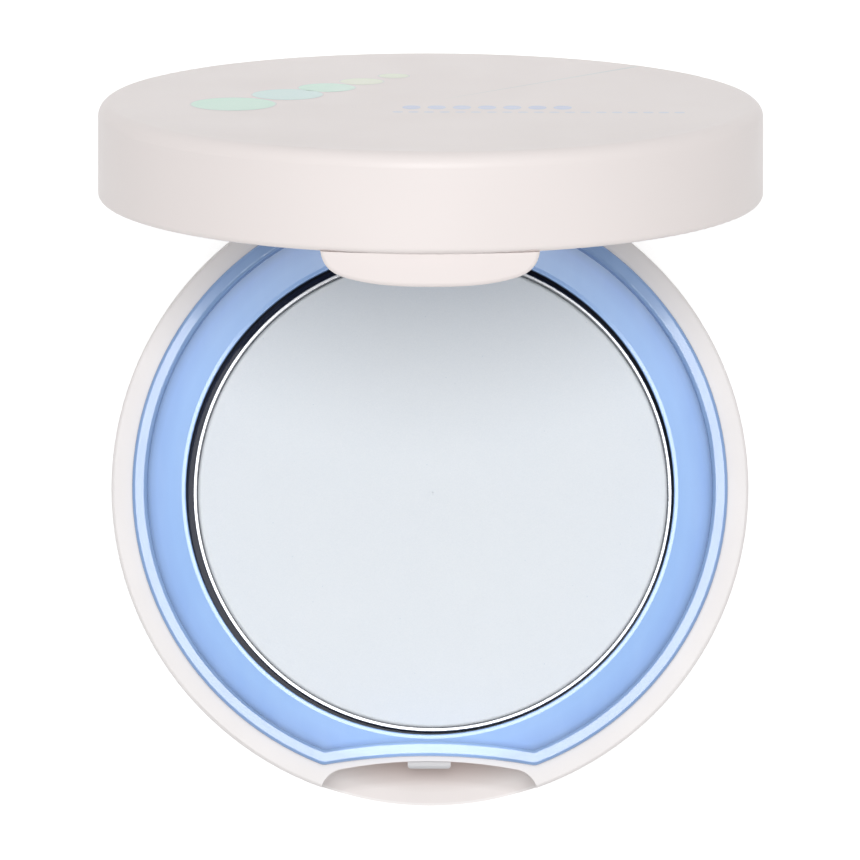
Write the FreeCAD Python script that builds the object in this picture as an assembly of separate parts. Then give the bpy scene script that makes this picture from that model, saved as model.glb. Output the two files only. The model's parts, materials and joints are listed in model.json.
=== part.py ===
"""Round pressed-powder compact with a hinged mirror lid, standing open.

Millimetres. Z is up with z = 0 at the underside, X runs left to right, Y from front to back.
The lid is modelled shut, then turned open about the hinge pins.
"""
import os
from math import hypot

import FreeCAD
import Part

Vector = FreeCAD.Vector

# ---- overall sizes ----
BASE_R = 35.0                 # outside radius of the base at its rim
BASE_H = 10.5                 # height of the plane where base and lid meet
BASE_DRAFT = 0.3              # taper of the base's outer wall
LID_R = 34.98                 # outside radius of the lid at its rim
LID_H = 10.2                  # height of the lid above the meeting plane
LID_DRAFT = 0.12              # taper of the lid's outer wall
BIG = 40.0                    # reach of cutting blocks beyond the body
SKIN = 0.1                    # how far joined blocks run into each other
RIM_GAP = 0.05                # gap between the rims when the lid is shut

# ---- base shell ----
FLOOR_T = 1.3
BASE_BOTTOM_ROUND = 1.6
BASE_RIM_ROUND = 0.35
FOOT_GROOVE_R = (27.0, 28.2)
FOOT_GROOVE_DEPTH = 0.3

# ---- hinge ----
HINGE_Y = 32.4
HINGE_Z = BASE_H - 6.2
PIN_R = 0.6
PIN_SPAN = (2.4, 10.8)        # inner and outer end of each pin, from the centre line
PIN_PRESS_GAP = 0.01
PIN_RUN_GAP = 0.05
PIN_CHAMFER = 0.12
BARREL_R = 1.8
LUG_HALF = 6.2
NOTCH_HALF = 6.4
NOTCH_Y = 30.3
NOTCH_Z = 1.9
RELIEF_DEG = 53.0             # span over which the rear rim is lowered to let the lid swing
RELIEF_DEPTH = 0.8
RELIEF_R = 32.2
OPEN_DEG = 73.0

# ---- inner tray ----
TRAY_R = 32.66
TRAY_GAP = 0.1                # gap between the tray's skirt and the base shell
SKIRT_INSET = 0.3             # how far the skirt stands in from the bead, which rests on the rim
TRAY_FRONT_Y = -29.5          # middle of the hollow front edge
TRAY_FRONT_ARC_R = 65.8
TRAY_REAR_Y = 29.4
TRAY_CORNER_R = 1.2
TRAY_SKIRT_T = 1.0
BEAD_W = 1.6
BEAD_H = 0.9
BEAD_ROUND = 0.35
SLOPE_OUTER = (31.06, -1.6)   # radius and height (from the meeting plane) of the sloping ring
SLOPE_INNER = (27.37, -2.4)   # inside this a narrow level land runs round the well
SLOPE_T = 1.2
WELL_R = 26.92
WELL_Y = -0.18
WELL_DEPTH = 6.0
WELL_WALL_T = 0.9
WELL_FLOOR_T = 1.0
WELL_EDGE_ROUND = 0.12
SUPPORT_RINGS = ((8.0, 9.0), (19.0, 20.0))

# ---- powder pan ----
PAN_R = 26.42
PAN_CENTRE = (0.29, -0.35)
PAN_RIM_Z = BASE_H - 3.0
PAN_WALL_T = 0.45
PAN_FLOOR_T = 0.4
PAN_FOOT_ROUND = 0.6
PAN_RIM_ROUND = 0.12
PAD_R = 22.0
PAD_T = 0.2
POWDER_Z = BASE_H - 3.4
POWDER_GAP = 0.05
POWDER_EDGE = 0.2

# ---- thumb recess and catch ----
RECESS_Y = -30.05             # middle of the recess wall at the rim
RECESS_ARC_R = 52.1
RECESS_HALF = 11.9
RECESS_CORNER_R = 2.8
RECESS_FLOOR_Z = BASE_H - 6.0
RECESS_ROUND = 2.5
CATCH_HALF = 2.35
CATCH_OUT = 0.8
CATCH_Z = (BASE_H - 2.0, BASE_H - 0.7)
CATCH_STEM_HALF = 1.6
CATCH_STEM_Z = (BASE_H - 1.8, BASE_H - 0.9)
CATCH_ROUND = 0.35

# ---- lid shell ----
LID_WALL_R = 32.9
LID_TOP_T = 1.6
LID_TOP_ROUND = 1.5
LID_RIM_ROUND = 0.65

# ---- lid inner frame, mirror and front tab ----
FRAME_R = 32.8
FRAME_Z = BASE_H + 1.3
FRAME_EDGE = 0.4
FRAME_OUTER_CHAMFER = 0.3
SEAT_R = 28.2
MIRROR_R = 28.0
MIRROR_Z = BASE_H + 2.4
MIRROR_T = 1.5
MIRROR_BEVEL = 0.25
GLUE_R = 26.0
GLUE_T = 0.2
BACKING_T = 1.0
FRAME_SKIRT_T = 1.2
TAB_GAP = 0.55                # gap between tab and recess all round
TAB_OUTER_R = 57.1
TAB_OUTER_Y = -34.2
TAB_TOP_Z = BASE_H + RIM_GAP - 0.02
TAB_EDGE = 0.45
TAB_NECK_HALF = 9.4
TAB_OUTLINE = ((10.95, 0.5), (10.8, -0.6), (10.4, -1.4), (9.65, -2.1), (8.1, -2.7), (0.0, -3.4))
TAB_POCKET_HALF = 2.75
TAB_POCKET_DEPTH = 0.75
TAB_POCKET_Z = (BASE_H - 2.3, BASE_H - 0.4)

# ---- snap lugs that hold the tray in the base and the frame in the lid ----
SNAP_ANGLES = (45, 135, 225, 315)
SNAP_W = 6.0
SNAP_OUT = 0.25
SNAP_GAP = 0.1
TRAY_SNAP_Z = (4.1, 4.9)
FRAME_SNAP_Z = (BASE_H + 6.1, BASE_H + 6.9)

X_AXIS = Vector(1, 0, 0)
Z_AXIS = Vector(0, 0, 1)


def disc(radius, z0, z1, centre=(0.0, 0.0)):
    """Upright cylinder between two heights."""
    return Part.makeCylinder(radius, z1 - z0, Vector(centre[0], centre[1], z0))


def ring(inner, outer, z0, z1):
    return disc(outer, z0, z1).cut(disc(inner, z0, z1))


def block(x0, x1, y0, y1, z0, z1):
    return Part.makeBox(x1 - x0, y1 - y0, z1 - z0, Vector(x0, y0, z0))


def crossbar(radius, x0, x1):
    """Cylinder on the hinge axis."""
    return Part.makeCylinder(radius, x1 - x0, Vector(x0, HINGE_Y, HINGE_Z), X_AXIS)


def revolve(profile, span=360):
    """Solid of revolution about Z, from +X on, from a closed list of (radius, height) points."""
    points = [Vector(r, 0, z) for r, z in profile]
    return Part.Face(Part.makePolygon(points + points[:1])).revolve(Vector(), Z_AXIS, span)


def level_edges(shape, z):
    """Edges that lie flat at one height."""
    return [e for e in shape.Edges
            if abs(e.BoundBox.ZMin - z) < 1e-4 and abs(e.BoundBox.ZMax - z) < 1e-4]


def corner_edges(shape, min_y=0.0):
    """Upright edges away from the side-to-side centre line."""
    return [e for e in shape.Edges
            if e.BoundBox.XLength < 1e-4 and e.BoundBox.YLength < 1e-4
            and abs(e.BoundBox.YMin) > min_y]


def on_circle(edge, radius, centre_y):
    """Whether an edge runs along an upright cylinder's wall, rather than up it."""
    ends = [edge.valueAt(edge.FirstParameter), edge.valueAt(edge.LastParameter)]
    near = all(abs(hypot(p.x, p.y - centre_y) - radius) < 1e-3 for p in ends)
    return near and edge.Length > radius


def snap_lugs(inner, outer, z_range):
    """Short raised lengths of a ring, spaced round the body."""
    band = ring(inner, outer, *z_range)
    gate = block(0, BIG, -SNAP_W / 2, SNAP_W / 2, *z_range)
    lugs = []
    for angle in SNAP_ANGLES:
        turned = gate.copy()
        turned.rotate(Vector(), Z_AXIS, angle)
        lugs.append(band.common(turned))
    return lugs


def tray_outline(inset, z0, z1):
    """The tray's plan shape, drawn in by an inset: a circle cut hollow in front, straight behind."""
    body = disc(TRAY_R - inset, z0, z1)
    arc_y = TRAY_FRONT_Y - TRAY_FRONT_ARC_R
    body = body.cut(disc(TRAY_FRONT_ARC_R + inset, z0, z1, (0, arc_y)))
    body = body.common(block(-BIG, BIG, -BIG, TRAY_REAR_Y - inset, z0, z1))
    return body.makeFillet(max(TRAY_CORNER_R - inset, 0.8), corner_edges(body, 20))


def recess_outline(inset, z0, z1):
    """The thumb recess's plan shape, open to the front, drawn in by an inset."""
    centre = (0, RECESS_Y - RECESS_ARC_R)
    half = RECESS_HALF - inset
    body = disc(RECESS_ARC_R - inset, z0, z1, centre)
    body = body.common(block(-half, half, -BIG, 0, z0, z1))
    back = [e for e in corner_edges(body) if e.BoundBox.YMin > -BIG + 1]
    return body.makeFillet(RECESS_CORNER_R - inset, back)


def slope_z(radius, drop=0.0):
    """Height of the sloping ring's surface at a radius."""
    (r_out, z_out), (r_in, z_in) = SLOPE_OUTER, SLOPE_INNER
    return BASE_H + z_in + (radius - r_in) * (z_out - z_in) / (r_out - r_in) - drop


def hinge_pin(side):
    inner, outer = PIN_SPAN
    pin = crossbar(PIN_R, inner, outer)
    if side < 0:
        pin = pin.mirror(Vector(), X_AXIS)
    ends = [e for e in pin.Edges if e.BoundBox.XLength < 1e-4]
    return pin.makeChamfer(PIN_CHAMFER, ends)


def base_shell():
    body = revolve([(0, 0), (BASE_R - BASE_DRAFT, 0), (BASE_R, BASE_H), (0, BASE_H)])
    body = body.makeFillet(BASE_BOTTOM_ROUND, level_edges(body, 0))
    body = body.makeFillet(BASE_RIM_ROUND, level_edges(body, BASE_H))
    body = body.cut(tray_outline(SKIRT_INSET - TRAY_GAP, FLOOR_T, BASE_H + 1))
    snap_low, snap_high = TRAY_SNAP_Z
    groove_z = (snap_low - SNAP_GAP, snap_high + SNAP_GAP)
    skirt_r = TRAY_R - SKIRT_INSET
    for groove in snap_lugs(skirt_r, skirt_r + SNAP_OUT + SNAP_GAP, groove_z):
        body = body.cut(groove)
    body = body.cut(ring(*FOOT_GROOVE_R, 0, FOOT_GROOVE_DEPTH))

    recess = recess_outline(0, RECESS_FLOOR_Z, BASE_H + 1)
    foot = [e for e in level_edges(recess, RECESS_FLOOR_Z) if e.BoundBox.YMax > -BIG + 1]
    body = body.cut(recess.makeFillet(RECESS_ROUND, foot))
    body = body.cut(block(-CATCH_STEM_HALF, CATCH_STEM_HALF, RECESS_Y - SKIN, TRAY_FRONT_Y + 1,
                          *CATCH_STEM_Z))

    body = body.cut(block(-NOTCH_HALF, NOTCH_HALF, NOTCH_Y, BIG, NOTCH_Z, BASE_H + 1))
    low, high = BASE_H - RELIEF_DEPTH, BASE_H + 1
    relief = revolve([(RELIEF_R, low), (BIG, low), (BIG, high), (RELIEF_R, high)], RELIEF_DEG)
    relief.rotate(Vector(), Z_AXIS, 90 - RELIEF_DEG / 2)
    body = body.cut(relief)
    return body.cut(crossbar(PIN_R + PIN_PRESS_GAP, -BIG, BIG))


def catch_tongue():
    """T-shaped insert: the head stands out into the recess, the stem fills a slot in its wall."""
    head = block(-CATCH_HALF, CATCH_HALF, RECESS_Y - CATCH_OUT, RECESS_Y + SKIN, *CATCH_Z)
    nose = [e for e in head.Edges if abs(e.BoundBox.YMax - RECESS_Y + CATCH_OUT) < 1e-4]
    head = head.makeFillet(CATCH_ROUND, nose)
    head = head.common(recess_outline(0, *CATCH_Z))
    stem_y = TRAY_FRONT_Y + SKIRT_INSET - TRAY_GAP
    stem = block(-CATCH_STEM_HALF, CATCH_STEM_HALF, RECESS_Y - SKIN, stem_y, *CATCH_STEM_Z)
    return head.fuse(stem).removeSplitter()


def inner_tray():
    top = BASE_H + BEAD_H
    bead = tray_outline(0, BASE_H, top)
    bead = bead.makeFillet(BEAD_ROUND, level_edges(bead, top))
    body = bead.fuse(tray_outline(SKIRT_INSET, FLOOR_T, BASE_H))
    land_r = SLOPE_INNER[0]
    dish = revolve([(0, slope_z(land_r)), (land_r, slope_z(land_r)), (BIG, slope_z(BIG)),
                    (BIG, top + 1), (0, top + 1)])
    dish.translate(Vector(0, WELL_Y, 0))
    body = body.cut(tray_outline(BEAD_W, 0, top + 1).common(dish))
    inner_loop = [e for e in level_edges(body, top) if e.BoundBox.YMax < TRAY_REAR_Y - BEAD_ROUND - SKIN]
    body = body.makeFillet(BEAD_ROUND, inner_loop)

    well_floor = BASE_H - WELL_DEPTH
    centre = (0, WELL_Y)
    body = body.cut(disc(WELL_R, well_floor, top + 1, centre))
    lip = [e for e in body.Edges if on_circle(e, WELL_R, WELL_Y) and e.BoundBox.ZMin > well_floor + 1]
    body = body.makeFillet(WELL_EDGE_ROUND, lip)

    under = revolve([(0, 0), (BIG, 0), (BIG, slope_z(BIG, SLOPE_T)), (0, slope_z(0, SLOPE_T))])
    hollow = tray_outline(SKIRT_INSET + TRAY_SKIRT_T, 0, top).common(under)
    hollow = hollow.cut(disc(WELL_R + WELL_WALL_T, well_floor - WELL_FLOOR_T, top, centre))
    for inner, outer in SUPPORT_RINGS:
        hollow = hollow.cut(ring(inner, outer, 0, BASE_H))
    body = body.cut(hollow)
    skirt_r = TRAY_R - SKIRT_INSET
    for lug in snap_lugs(skirt_r - SNAP_OUT, skirt_r + SNAP_OUT, TRAY_SNAP_Z):
        body = body.fuse(lug)
    return body.removeSplitter()


def powder_pan():
    foot = BASE_H - WELL_DEPTH + PAD_T
    body = disc(PAN_R, foot, PAN_RIM_Z, PAN_CENTRE)
    body = body.makeFillet(PAN_FOOT_ROUND, level_edges(body, foot))
    body = body.cut(disc(PAN_R - PAN_WALL_T, foot + PAN_FLOOR_T, PAN_RIM_Z + 1, PAN_CENTRE))
    return body.makeFillet(PAN_RIM_ROUND, level_edges(body, PAN_RIM_Z))


def pressed_powder():
    foot = BASE_H - WELL_DEPTH + PAD_T + PAN_FLOOR_T
    cake = disc(PAN_R - PAN_WALL_T - POWDER_GAP, foot, POWDER_Z, PAN_CENTRE)
    return cake.makeFillet(POWDER_EDGE, level_edges(cake, POWDER_Z))


def pan_adhesive():
    foot = BASE_H - WELL_DEPTH
    return disc(PAD_R, foot, foot + PAD_T, PAN_CENTRE)


def lid_shell():
    rim, top = BASE_H + RIM_GAP, BASE_H + LID_H
    body = revolve([(0, rim), (LID_R, rim), (LID_R - LID_DRAFT, top), (0, top)])
    body = body.makeFillet(LID_TOP_ROUND, level_edges(body, top))
    body = body.makeFillet(LID_RIM_ROUND, level_edges(body, rim))
    body = body.cut(disc(LID_WALL_R, rim, top - LID_TOP_T))
    snap_low, snap_high = FRAME_SNAP_Z
    groove_z = (snap_low - SNAP_GAP, snap_high + SNAP_GAP)
    for groove in snap_lugs(FRAME_R, FRAME_R + SNAP_OUT + SNAP_GAP, groove_z):
        body = body.cut(groove)
    return body


def front_tab():
    """Lens-shaped tab that drops into the thumb recess and holds the pocket for the catch."""
    low = BASE_H + min(z for _, z in TAB_OUTLINE) - 1
    plan = recess_outline(TAB_GAP, low, FRAME_Z + SKIN)
    outer = (0, TAB_OUTER_Y + TAB_OUTER_R)
    right = [Vector(x, 0, BASE_H + z) for x, z in TAB_OUTLINE]
    left = [Vector(-p.x, 0, p.z) for p in reversed(right[:-1])]
    curve = Part.BSplineCurve()
    curve.interpolate(right + left)
    edge = Part.Wire([curve.toShape(), Part.makeLine(left[-1], right[0])])
    face = Part.Face(edge)
    face.translate(Vector(0, -BIG, 0))
    elevation = face.extrude(Vector(0, BIG, 0))

    tab = plan.common(disc(TAB_OUTER_R, low, TAB_TOP_Z, outer)).common(elevation)
    front_foot = [e for e in tab.Edges if e.BoundBox.XLength > LID_R / 2
                  and e.BoundBox.ZMin < BASE_H - 3 and e.BoundBox.YMin < RECESS_Y - 2]
    tab = tab.makeFillet(TAB_EDGE, front_foot)
    neck = plan.common(disc(FRAME_R - SKIN, TAB_TOP_Z - SKIN, FRAME_Z + SKIN))
    neck = neck.common(block(-TAB_NECK_HALF, TAB_NECK_HALF, -BIG, 0, low, FRAME_Z + SKIN))
    tab = tab.fuse(neck)
    tab_y = RECESS_Y - TAB_GAP
    return tab.cut(block(-TAB_POCKET_HALF, TAB_POCKET_HALF, tab_y - TAB_POCKET_DEPTH, 0,
                         *TAB_POCKET_Z))


def hinge_lug():
    """Knuckle that hangs from the rear of the lid frame and turns on the pins."""
    y0, y1 = HINGE_Y - BARREL_R, HINGE_Y + BARREL_R
    lug = crossbar(BARREL_R, -LUG_HALF, LUG_HALF)
    lug = lug.fuse(block(-LUG_HALF, LUG_HALF, y0, y1, HINGE_Z, BASE_H))
    neck = block(-LUG_HALF, LUG_HALF, y0, y1, BASE_H - SKIN, FRAME_Z + SKIN)
    lug = lug.fuse(neck.common(disc(FRAME_R - SKIN, 0, FRAME_Z + SKIN)))
    return lug.cut(crossbar(PIN_R + PIN_RUN_GAP, -BIG, BIG))


def lid_inner_frame():
    seat_z = MIRROR_Z + MIRROR_T + GLUE_T
    back_z = seat_z + BACKING_T
    body = disc(FRAME_R, FRAME_Z, back_z)
    body = body.makeChamfer(FRAME_OUTER_CHAMFER, level_edges(body, FRAME_Z))
    body = body.cut(disc(SEAT_R, FRAME_Z, seat_z))
    mouth = [e for e in level_edges(body, FRAME_Z) if e.BoundBox.XLength < 2 * SEAT_R + SKIN]
    body = body.makeFillet(FRAME_EDGE, mouth)
    body = body.fuse(ring(FRAME_R - FRAME_SKIRT_T, FRAME_R, back_z, BASE_H + LID_H - LID_TOP_T))
    for lug in snap_lugs(FRAME_R - SNAP_OUT, FRAME_R + SNAP_OUT, FRAME_SNAP_Z):
        body = body.fuse(lug)
    return body.fuse(front_tab()).fuse(hinge_lug()).removeSplitter()


def mirror():
    glass = disc(MIRROR_R, MIRROR_Z, MIRROR_Z + MIRROR_T)
    return glass.makeChamfer(MIRROR_BEVEL, level_edges(glass, MIRROR_Z))


def mirror_adhesive():
    return disc(GLUE_R, MIRROR_Z + MIRROR_T, MIRROR_Z + MIRROR_T + GLUE_T)


def opened(shape):
    """Turn a lid piece from shut to its standing open position."""
    shape.rotate(Vector(0, HINGE_Y, HINGE_Z), X_AXIS, -OPEN_DEG)
    return shape


NODES = {
    "base_shell": base_shell(),
    "catch_tongue": catch_tongue(),
    "inner_tray": inner_tray(),
    "pan_adhesive": pan_adhesive(),
    "powder_pan": powder_pan(),
    "pressed_powder": pressed_powder(),
    "hinge_pin_left": hinge_pin(-1),
    "hinge_pin_right": hinge_pin(1),
    "lid_shell": opened(lid_shell()),
    "lid_inner_frame": opened(lid_inner_frame()),
    "mirror_adhesive": opened(mirror_adhesive()),
    "mirror": opened(mirror()),
}

os.makedirs("parts", exist_ok=True)
for name, shape in NODES.items():
    shape.exportStep("parts/" + name + ".step")
    print(name, len(shape.Solids), shape.isValid(), round(shape.Volume, 2))
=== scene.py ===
"""Looks of the powder compact: materials, powder, lid print, studio and camera around the CAD frame.

Metres. Texture patterns are scaled in millimetres.
"""
import bpy
import json
from math import atan2, cos, pi, radians, sin
from random import Random

from mathutils import Matrix, Vector, noise


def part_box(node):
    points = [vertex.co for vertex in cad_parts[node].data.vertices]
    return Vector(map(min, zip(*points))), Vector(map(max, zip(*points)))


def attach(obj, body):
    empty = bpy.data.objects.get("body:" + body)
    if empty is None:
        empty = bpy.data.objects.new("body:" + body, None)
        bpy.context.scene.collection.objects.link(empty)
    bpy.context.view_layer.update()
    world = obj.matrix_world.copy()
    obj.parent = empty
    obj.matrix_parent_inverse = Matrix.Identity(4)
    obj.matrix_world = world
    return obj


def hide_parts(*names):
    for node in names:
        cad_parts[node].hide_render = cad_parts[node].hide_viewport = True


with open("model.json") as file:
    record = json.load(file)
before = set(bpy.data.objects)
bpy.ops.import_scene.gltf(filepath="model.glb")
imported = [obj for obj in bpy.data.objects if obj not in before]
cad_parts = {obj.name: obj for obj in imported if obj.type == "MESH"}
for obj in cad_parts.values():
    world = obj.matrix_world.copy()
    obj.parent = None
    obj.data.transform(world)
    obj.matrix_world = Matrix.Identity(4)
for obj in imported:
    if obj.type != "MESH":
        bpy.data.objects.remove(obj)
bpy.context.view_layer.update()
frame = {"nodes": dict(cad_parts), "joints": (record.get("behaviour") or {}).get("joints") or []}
NODES = frame["nodes"]
HINGE = frame["joints"][0]
HINGE_POINT = Vector(HINGE["pos_m"])
OPEN_ANGLE = radians(HINGE["range_deg"][0])     # the lid at rest, turned back from its shut place

MM = 0.001
BASE_TOP = 10.5 * MM          # height of the plane where base and lid meet
LID_TOP = 20.7 * MM           # height of the lid's outer face when shut

# ---- painted shade: places on the case that a shading colour follows, in millimetres: radius or height ----
RECESS_DEPTH = (33.4, 30.4)   # the base takes the recess colour, a painted shade, inwards between these radii
RECESS_HEIGHT = (10.3, 8.8)   # and downwards between these heights
RECESS_MOUTH = (34.65, 34.5)  # and never on its outer wall
RECESS_LIP_SHADE = 0.22       # share of the painted recess shade at the outer of its two radii
TRAY_LIGHTENS = (31.0, 28.6)  # painted shade: the tray's blue is darker by the bead and lightens inwards between these radii
TRAY_DARKENS = (7.9, 6.8)     # and, as painted shade, turns near black downwards between these heights, in the gap round the pan

# ---- camera ----
FRAME_WIDTH = 94.4 * MM       # what the picture takes in, at the height of the base's rim
VIEW_DISTANCE = 600 * MM
VIEW_ELEVATION = radians(85.26)
VIEW_AZIMUTH = radians(0.55)
VIEW_ROLL = radians(-0.4)
VIEW_SHIFT = (0.05 * MM, 6.24 * MM)
SENSOR = 36.0

# ---- powder cake ----
CAKE_TOP = 7.1 * MM
CAKE_EDGE = 0.32 * MM         # width of the soft, slightly crumbled edge
CAKE_DOME = 0.04 * MM
CAKE_GRAIN = 0.012 * MM
CAKE_DROP = 0.3 * MM          # how far the top falls at its edge
CAKE_CRUMB = 0.8 * MM         # size of the crumbs along the edge
CAKE_CROWDING = 1.6           # above 1, the rings crowd towards the edge
CAKE_RINGS = 150
CAKE_SPOKES = 720

# ---- lid print, millimetres on the shut lid ----
INK_LIFT = 0.006              # each layer of ink stands this far above the one below
DISC_START = (-20.6, -3.4)
DISC_SPREAD = (16.6, 20.0)    # from the first disc to the last
DISC_RADII = (4.4, 1.6)       # of the first disc and the last
DISC_BEND = 0.8
DISC_OUTLINE = 0.16
DOTS, DOT_PITCH = 7, 2.62
DASHES, DASH_PITCH = 19, 1.62
OVAL_STEPS = 48

# ---- fine skin of the mouldings: patterns per millimetre, strength, depth in millimetres ----
SKIN = (5.0, 0.03, 0.004)


# ---- shader helpers ----

class Shader:
    """A procedural material whose textures are scaled in millimetres."""

    def __init__(self, name, **values):
        self.material = bpy.data.materials.new(name)
        self.material.use_nodes = True
        self.tree = self.material.node_tree
        self.tree.nodes.clear()
        out = self.tree.nodes.new("ShaderNodeOutputMaterial")
        self.bsdf = self.tree.nodes.new("ShaderNodeBsdfPrincipled")
        self.link(self.bsdf.outputs["BSDF"], out.inputs["Surface"])
        for key, value in values.items():
            self.bsdf.inputs[key.replace("_", " ")].default_value = value
        coords = self.tree.nodes.new("ShaderNodeTexCoord")
        scale = self.tree.nodes.new("ShaderNodeVectorMath")
        scale.operation = "SCALE"
        scale.inputs["Scale"].default_value = 1 / MM
        self.link(coords.outputs["Object"], scale.inputs[0])
        self.mm = scale.outputs[0]

    def link(self, source, target):
        self.tree.links.new(source, target)

    def noise(self, per_mm, detail=3.0, rough=0.5, vector=None):
        """Cloudy noise from 0 to 1, with about per_mm cells to the millimetre."""
        node = self.tree.nodes.new("ShaderNodeTexNoise")
        node.inputs["Scale"].default_value = per_mm
        node.inputs["Detail"].default_value = detail
        node.inputs["Roughness"].default_value = rough
        self.link(vector or self.mm, node.inputs["Vector"])
        return node.outputs["Fac"]

    def stretched(self, x, y, z):
        """The millimetre coordinates, scaled along each axis."""
        node = self.tree.nodes.new("ShaderNodeVectorMath")
        node.operation = "MULTIPLY"
        self.link(self.mm, node.inputs[0])
        node.inputs[1].default_value = (x, y, z)
        return node.outputs[0]

    def height(self):
        """Height above the table in millimetres."""
        node = self.tree.nodes.new("ShaderNodeSeparateXYZ")
        self.link(self.mm, node.inputs[0])
        return node.outputs["Z"]

    def radius(self):
        """Distance from the case's upright axis in millimetres."""
        node = self.tree.nodes.new("ShaderNodeVectorMath")
        node.operation = "LENGTH"
        self.link(self.stretched(1, 1, 0), node.inputs[0])
        return node.outputs["Value"]

    def specks(self, per_mm, reach):
        """One inside small scattered dots, nought elsewhere."""
        node = self.tree.nodes.new("ShaderNodeTexVoronoi")
        node.inputs["Scale"].default_value = per_mm
        self.link(self.mm, node.inputs["Vector"])
        return self.span(node.outputs["Distance"], reach * 0.6, reach, 1, 0)

    def maths(self, operation, a, b):
        """A sum or product of a socket with a number or another socket."""
        node = self.tree.nodes.new("ShaderNodeMath")
        node.operation = operation
        self.link(a, node.inputs[0])
        if isinstance(b, (int, float)):
            node.inputs[1].default_value = b
        else:
            self.link(b, node.inputs[1])
        return node.outputs[0]

    def ramp(self, fac, *stops):
        """A colour that runs through the stops, each a (position, RGB triple)."""
        node = self.tree.nodes.new("ShaderNodeValToRGB")
        elements = node.color_ramp.elements
        while len(elements) < len(stops):
            elements.new(0.5)
        for element, (position, colour) in zip(elements, stops):
            element.position = position
            element.color = (*colour, 1.0)
        self.link(fac, node.inputs["Fac"])
        return node.outputs["Color"]

    def mix(self, fac, first, second):
        """Blend two colours, each a socket or an RGB triple."""
        node = self.tree.nodes.new("ShaderNodeMix")
        node.data_type = "RGBA"
        self.link(fac, node.inputs["Factor"])
        for socket, value in ((node.inputs[6], first), (node.inputs[7], second)):
            if isinstance(value, tuple):
                socket.default_value = (*value, 1.0)
            else:
                self.link(value, socket)
        return node.outputs[2]

    def span(self, fac, low, high, to_low, to_high):
        """The range low to high mapped onto to_low to to_high, and held at its ends."""
        node = self.tree.nodes.new("ShaderNodeMapRange")
        for key, value in zip(("From Min", "From Max", "To Min", "To Max"), (low, high, to_low, to_high)):
            node.inputs[key].default_value = value
        self.link(fac, node.inputs["Value"])
        return node.outputs["Result"]

    def bump(self, height, strength, depth_mm, after=None):
        """A bumped normal, laid over the bump given as after."""
        node = self.tree.nodes.new("ShaderNodeBump")
        node.inputs["Strength"].default_value = strength
        node.inputs["Distance"].default_value = depth_mm * MM
        self.link(height, node.inputs["Height"])
        if after:
            self.link(after, node.inputs["Normal"])
        return node.outputs["Normal"]

    def skin(self):
        """The fine texture of a satin moulding."""
        per_mm, strength, depth_mm = SKIN
        self.set("Normal", self.bump(self.noise(per_mm, 2), strength, depth_mm))

    def set(self, socket, source):
        self.link(source, self.bsdf.inputs[socket])


def shade(colour, factor):
    """The colour made lighter or darker."""
    return tuple(min(1.0, c * factor) for c in colour)


def moulded_plastic(name, colour, rough=(0.29, 0.42), gloss=0.25, recess=None):
    """Satin moulding: faint clouding, handling haze and a fine skin texture.

    The recess colour, when given, is painted shade: it darkens what lies low and inside the outer wall.
    """
    s = Shader(name, Specular_IOR_Level=gloss, IOR=1.49)
    cloud_and_shade = s.ramp(s.noise(0.05, 1), (0.0, shade(colour, 0.975)), (1.0, shade(colour, 1.025)))
    if recess:
        inwards = s.span(s.radius(), *RECESS_DEPTH, RECESS_LIP_SHADE, 1)
        depth = s.maths("MULTIPLY", inwards, s.span(s.height(), *RECESS_HEIGHT, 0, 1))
        inside = s.maths("MULTIPLY", depth, s.span(s.radius(), *RECESS_MOUTH, 0, 1))
        # painted shade: low places inside the base darken towards the recess colour
        cloud_and_shade = s.mix(inside, cloud_and_shade, recess)
    s.set("Base Color", cloud_and_shade)
    s.set("Roughness", s.span(s.noise(0.15, 2), 0, 1, *rough))
    s.skin()
    return s.material


def pearl_blue():
    """Tray plastic: blue with a fine pearl shimmer, painted shade darker by the bead, and painted shade
    near black round the pan.
    """
    s = Shader("blue_tray", Coat_Weight=0.15, Coat_Roughness=0.06, IOR=1.49)
    # painted shade: the blue is darker next to the bead and lightens inwards
    bead_shade = s.span(s.radius(), *TRAY_LIGHTENS, 0, 1)
    base = s.ramp(bead_shade, (0.0, (0.25, 0.39, 0.67)), (0.4, (0.31, 0.49, 0.86)), (1.0, (0.345, 0.55, 0.93)))
    streaks = s.span(s.noise(1.0, 2, 0.5, s.stretched(0.5, 0.1, 1.0)), 0.4, 0.8, 0, 0.12)
    base = s.mix(streaks, base, (0.52, 0.72, 1.0))
    flakes = s.maths("MULTIPLY", s.specks(12.0, 0.2), 0.05)
    base = s.mix(flakes, base, (0.62, 0.76, 1.0))
    # painted shade: the blue turns near black low in the gap round the pan; its roughness rises there too
    depth = s.span(s.height(), *TRAY_DARKENS, 0, 1)
    s.set("Base Color", s.mix(depth, base, (0.01, 0.02, 0.06)))
    haze = s.span(s.noise(0.2, 2), 0, 1, 0.18, 0.26)
    s.set("Roughness", s.maths("ADD", haze, s.maths("MULTIPLY", depth, 0.7)))
    s.skin()
    return s.material


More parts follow.
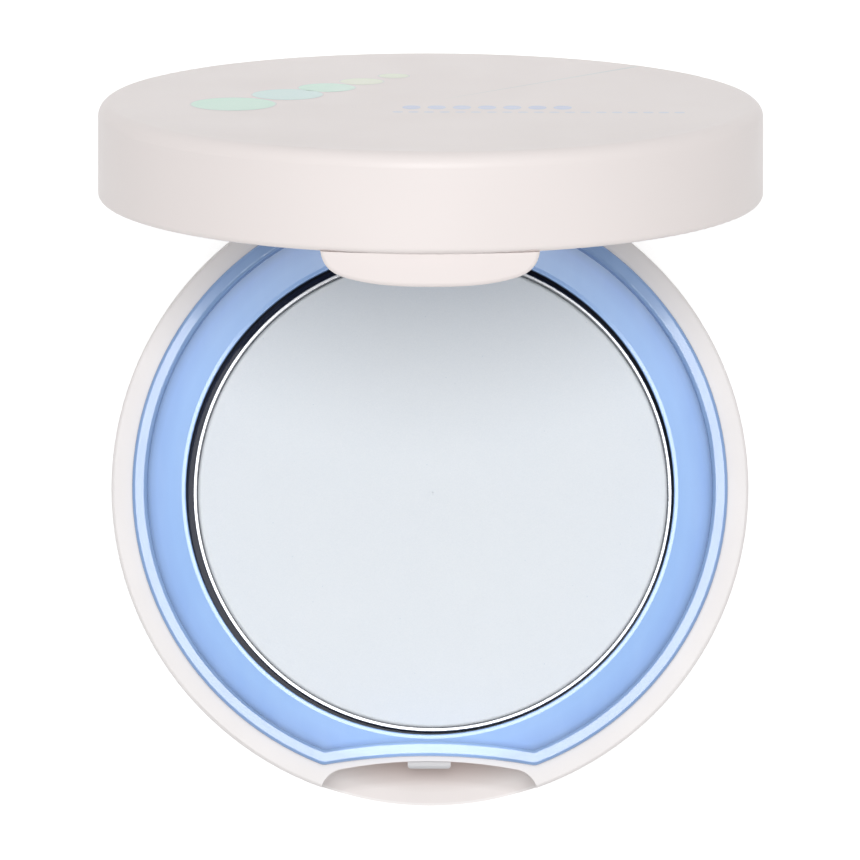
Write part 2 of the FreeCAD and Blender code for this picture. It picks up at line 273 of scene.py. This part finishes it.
def powder_material():
    """Matte pressed powder: grain, soft patches where the press bore harder, and rare specks."""
    s = Shader("pressed_powder", Roughness=0.95, Specular_IOR_Level=0.15)
    patch = s.ramp(s.noise(0.12, 3, 0.6), (0.3, (0.785, 0.83, 0.875)), (0.7, (0.805, 0.845, 0.885)))
    grain = s.ramp(s.noise(7.0, 6, 0.75), (0.32, (0.755, 0.80, 0.85)), (0.6, (0.83, 0.865, 0.90)))
    colour = s.mix(s.noise(2.5, 2), patch, grain)
    dark = s.maths("MULTIPLY", s.specks(0.55, 0.045), 0.4)
    colour = s.mix(dark, colour, (0.5, 0.6, 0.7))
    glints = s.maths("MULTIPLY", s.specks(2.2, 0.06), 0.6)
    s.set("Base Color", s.mix(glints, colour, (0.97, 0.98, 1.0)))
    fine = s.bump(s.noise(11.0, 6, 0.75), 0.45, 0.03)
    s.set("Normal", s.bump(s.noise(0.5, 3), 0.1, 0.04, fine))
    return s.material


def metal(name, colour, rough, brush=(1.0, 1.0, 1.0)):
    """Drawn or polished metal with fine lines along the axes that brush leaves long."""
    s = Shader(name, Metallic=1.0)
    lines = s.noise(3.0, 4, 0.6, s.stretched(*brush))
    s.set("Base Color", s.ramp(lines, (0.3, shade(colour, 0.92)), (0.7, colour)))
    s.set("Roughness", s.span(lines, 0.3, 0.7, rough * 0.8, rough * 1.25))
    s.set("Normal", s.bump(lines, 0.1, 0.01))
    return s.material


def silvering():
    """Mirror glass, with the faintest smear of fingerprints."""
    s = Shader("mirror_glass", Metallic=1.0)
    smear = s.noise(0.12, 4, 0.6)
    s.set("Base Color", s.ramp(smear, (0.4, (0.90, 0.92, 0.93)), (0.6, (0.93, 0.94, 0.95))))
    s.set("Roughness", s.span(smear, 0.45, 0.75, 0.012, 0.05))
    return s.material


def foam():
    """Dull off-white foam tape."""
    s = Shader("adhesive", Roughness=0.8)
    s.set("Base Color", s.ramp(s.noise(3.0, 4), (0.3, (0.62, 0.61, 0.57)), (0.7, (0.74, 0.73, 0.69))))
    s.set("Normal", s.bump(s.noise(4.0, 3), 0.5, 0.05))
    return s.material


def ink(name, colour, far_colour):
    """Printed ink: a fine halftone over a slow drift between two pastel colours."""
    s = Shader(name, Specular_IOR_Level=0.25, Roughness=0.3)
    drift = s.ramp(s.noise(0.09, 1), (0.4, colour), (0.6, far_colour))
    dots = s.maths("MULTIPLY", s.specks(3.2, 0.4), 0.12)
    s.set("Base Color", s.mix(dots, drift, (0.95, 0.95, 0.95)))
    return s.material


def paint(node, material):
    """Give every material slot of a CAD node the one material."""
    slots = NODES[node].data.materials
    for i in range(len(slots)):
        slots[i] = material


lid_white = moulded_plastic("white_lid", (0.83, 0.77, 0.755), gloss=0.18)
# the recess colour is painted shade for the thumb recess, not the plastic's own colour
base_white = moulded_plastic("white_base", (0.805, 0.775, 0.77), recess=(0.53, 0.435, 0.41))
frame_white = moulded_plastic("white_frame", (0.83, 0.765, 0.75))
catch = moulded_plastic("catch", (0.60, 0.60, 0.62), (0.32, 0.48))

tray_blue = pearl_blue()
pan_metal = metal("pan_metal", (0.5, 0.51, 0.53), 0.38, (1, 1, 8))
pin_steel = metal("pin_steel", (0.6, 0.6, 0.62), 0.37, (8, 1, 1))

for node, material in {
    "base_shell": base_white,
    "lid_shell": lid_white,
    "lid_inner_frame": frame_white,
    "inner_tray": tray_blue,
    "catch_tongue": catch,
    "powder_pan": pan_metal,
    "hinge_pin_left": pin_steel,
    "hinge_pin_right": pin_steel,
    "mirror": silvering(),
    "mirror_adhesive": foam(),
    "pan_adhesive": foam(),
}.items():
    paint(node, material)


# ---- powder cake ----

def mesh_object(name, points, faces, material, smooth=True):
    """A new object in the scene, with one material."""
    mesh = bpy.data.meshes.new(name)
    mesh.from_pydata(points, [], faces)
    mesh.materials.append(material)
    for polygon in mesh.polygons:
        polygon.use_smooth = smooth
    obj = bpy.data.objects.new(name, mesh)
    bpy.context.scene.collection.objects.link(obj)
    return obj


def powder_cake():
    """The pressed cake: a dished, grainy top, an edge that has crumbled a little, and a plain wall."""
    low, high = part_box("pressed_powder")
    centre = (low + high) / 2
    radius = (high.x - low.x) / 2
    random = Random(4)
    points, faces = [], []
    for i in range(CAKE_RINGS + 1):
        share = i / CAKE_RINGS
        r = radius * (1 - (1 - share) ** CAKE_CROWDING)
        for k in range(CAKE_SPOKES):
            angle = 2 * pi * k / CAKE_SPOKES
            x, y = r * cos(angle), r * sin(angle)
            crumb = 0.5 + 0.5 * noise.noise(Vector((x, y, 0)) / CAKE_CRUMB)
            edge = CAKE_EDGE * (0.55 + 0.9 * crumb)
            fall = max(0.0, 1 - (radius - r) / edge)
            z = CAKE_TOP - CAKE_DOME * (1 - (r / radius) ** 2) - CAKE_DROP * fall ** 2
            z -= CAKE_GRAIN * (random.random() + 2 * fall * crumb)
            points.append((centre.x + x, centre.y + y, z))
    for k in range(CAKE_SPOKES):
        angle = 2 * pi * k / CAKE_SPOKES
        points.append((centre.x + radius * cos(angle), centre.y + radius * sin(angle), low.z))
    for i in range(CAKE_RINGS + 1):
        a, b = i * CAKE_SPOKES, (i + 1) * CAKE_SPOKES
        for k in range(CAKE_SPOKES):
            n = (k + 1) % CAKE_SPOKES
            faces.append((a + k, b + k, b + n, a + n))
    last = (CAKE_RINGS + 1) * CAKE_SPOKES
    faces.append(tuple(last + k for k in reversed(range(CAKE_SPOKES))))
    cake = mesh_object("powder_cake", points, faces, powder_material())
    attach(cake, "base")
    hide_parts("pressed_powder")


powder_cake()


# ---- lid print ----

def on_lid(x, y, lift):
    """A point on the lid's outer face, given in millimetres on the shut lid, where the lid now stands."""
    shut = Vector((x * MM, y * MM, LID_TOP + lift * MM))
    return Matrix.Rotation(OPEN_ANGLE, 3, "X") @ (shut - HINGE_POINT) + HINGE_POINT


def band(name, path, material, layer=0):
    """A straight strip of ink along a list of (x, y, half width), in the given layer of ink."""
    points, faces = [], []
    lift = INK_LIFT * (1 + layer)
    across = atan2(path[-1][1] - path[0][1], path[-1][0] - path[0][0]) + pi / 2
    for i, (x, y, half) in enumerate(path):
        nx, ny = half * cos(across), half * sin(across)
        points += [on_lid(x + nx, y + ny, lift), on_lid(x - nx, y - ny, lift)]
        if i:
            faces.append((2 * i - 2, 2 * i - 1, 2 * i + 1, 2 * i))
    strip = mesh_object(name, points, faces, material, smooth=False)
    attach(strip, "lid")


def dot(name, x, y, half_long, half_high, material, layer=0):
    """A filled oval."""
    path = []
    for i in range(OVAL_STEPS + 1):
        turn = pi * i / OVAL_STEPS
        path.append((x - half_long * cos(turn), y, half_high * sin(turn)))
    band(name, path, material, layer)


def lid_print():
    """A generic print: a curve of shrinking discs, a widening hairline, a row of dots and one of dashes."""
    mint = ink("ink_mint", (0.58, 0.82, 0.70), (0.66, 0.84, 0.76))
    teal = ink("ink_teal", (0.60, 0.79, 0.77), (0.64, 0.81, 0.75))
    lime = ink("ink_lime", (0.76, 0.81, 0.66), (0.79, 0.82, 0.69))
    pale_blue = ink("ink_blue", (0.55, 0.61, 0.80), (0.58, 0.64, 0.81))
    faint_blue = ink("ink_faint", (0.67, 0.69, 0.77), (0.70, 0.71, 0.77))
    hair = ink("ink_grey", (0.69, 0.69, 0.69), (0.74, 0.74, 0.73))

    disc_inks = (mint, teal, mint, lime, lime)
    for i, material in enumerate(disc_inks):
        share = i / (len(disc_inks) - 1)
        x = DISC_START[0] + DISC_SPREAD[0] * share ** DISC_BEND
        y = DISC_START[1] + DISC_SPREAD[1] * share ** DISC_BEND
        radius = DISC_RADII[0] + (DISC_RADII[1] - DISC_RADII[0]) * share
        edge = radius + DISC_OUTLINE
        dot("print_disc_%d_edge" % i, x, y, edge, edge, hair)
        dot("print_disc_%d" % i, x, y, radius, radius, material, 1)
    sweep = [(1.5 + 2.1 * i, 0.5 + 2.35 * i, 0.04 + 0.025 * i) for i in range(11)]
    band("print_sweep", sweep, hair)
    for i in range(DOTS):
        dot("print_dot_%d" % i, -2.0 + DOT_PITCH * i, -5.3, 0.95, 1.25, pale_blue)
    for i in range(DASHES):
        dot("print_dash_%d" % i, -3.4 + DASH_PITCH * i, -8.4, 0.55, 0.5, faint_blue)


lid_print()


# ---- studio ----

def floor():
    """A white table that glows a little, so that it stays white in the picture."""
    half = 1.5
    corners = [(-half, -half, 0), (half, -half, 0), (half, half, 0), (-half, half, 0)]
    s = Shader("floor", Base_Color=(0.5, 0.5, 0.5, 1), Roughness=0.9, Specular_IOR_Level=0.1,
               Emission_Color=(1, 1, 1, 1), Emission_Strength=0.7)
    mesh_object("floor", corners, [(0, 1, 2, 3)], s.material, smooth=False)


def area_light(name, size, power, place, target):
    """A round soft light at place, facing target."""
    light = bpy.data.lights.new(name, "AREA")
    light.shape = "DISK"
    light.size = size
    light.energy = power
    obj = bpy.data.objects.new(name, light)
    bpy.context.scene.collection.objects.link(obj)
    obj.location = place
    obj.rotation_euler = (Vector(target) - Vector(place)).to_track_quat("-Z", "Y").to_euler()


def studio():
    """The table, an even white surround, and two soft lights."""
    floor()
    world = bpy.data.worlds.new("studio")
    bpy.context.scene.world = world
    world.use_nodes = True
    back = world.node_tree.nodes["Background"]
    back.inputs["Color"].default_value = (1, 1, 1, 1)
    back.inputs["Strength"].default_value = 0.27
    area_light("key", 0.46, 5.7, (0.0, -0.03, 0.9), (0, 0, 0))
    area_light("rear_fill", 0.4, 0.5, (0.0, 0.42, 0.8), (0, 0.02, 0.05))
    bpy.context.scene.view_settings.view_transform = "Standard"


def camera():
    """The photo's view: from nearly straight above, a touch towards the front."""
    data = bpy.data.cameras.new("camera")
    data.sensor_width = SENSOR
    data.lens = SENSOR * VIEW_DISTANCE / FRAME_WIDTH
    obj = bpy.data.objects.new("camera", data)
    bpy.context.scene.collection.objects.link(obj)
    turn = Matrix.Rotation(VIEW_AZIMUTH, 3, "Z")
    ahead = turn @ Vector((0, cos(VIEW_ELEVATION), -sin(VIEW_ELEVATION)))
    up = turn @ Vector((0, sin(VIEW_ELEVATION), cos(VIEW_ELEVATION)))
    right = turn @ Vector((1, 0, 0))
    aim = Vector((0, 0, BASE_TOP)) + right * VIEW_SHIFT[0] + up * VIEW_SHIFT[1]
    turned_right = right * cos(VIEW_ROLL) + up * sin(VIEW_ROLL)
    turned_up = up * cos(VIEW_ROLL) - right * sin(VIEW_ROLL)
    axes = Matrix((turned_right, turned_up, -ahead)).transposed()
    obj.matrix_world = Matrix.Translation(aim - ahead * VIEW_DISTANCE) @ axes.to_4x4()
    bpy.context.scene.camera = obj


studio()
camera()
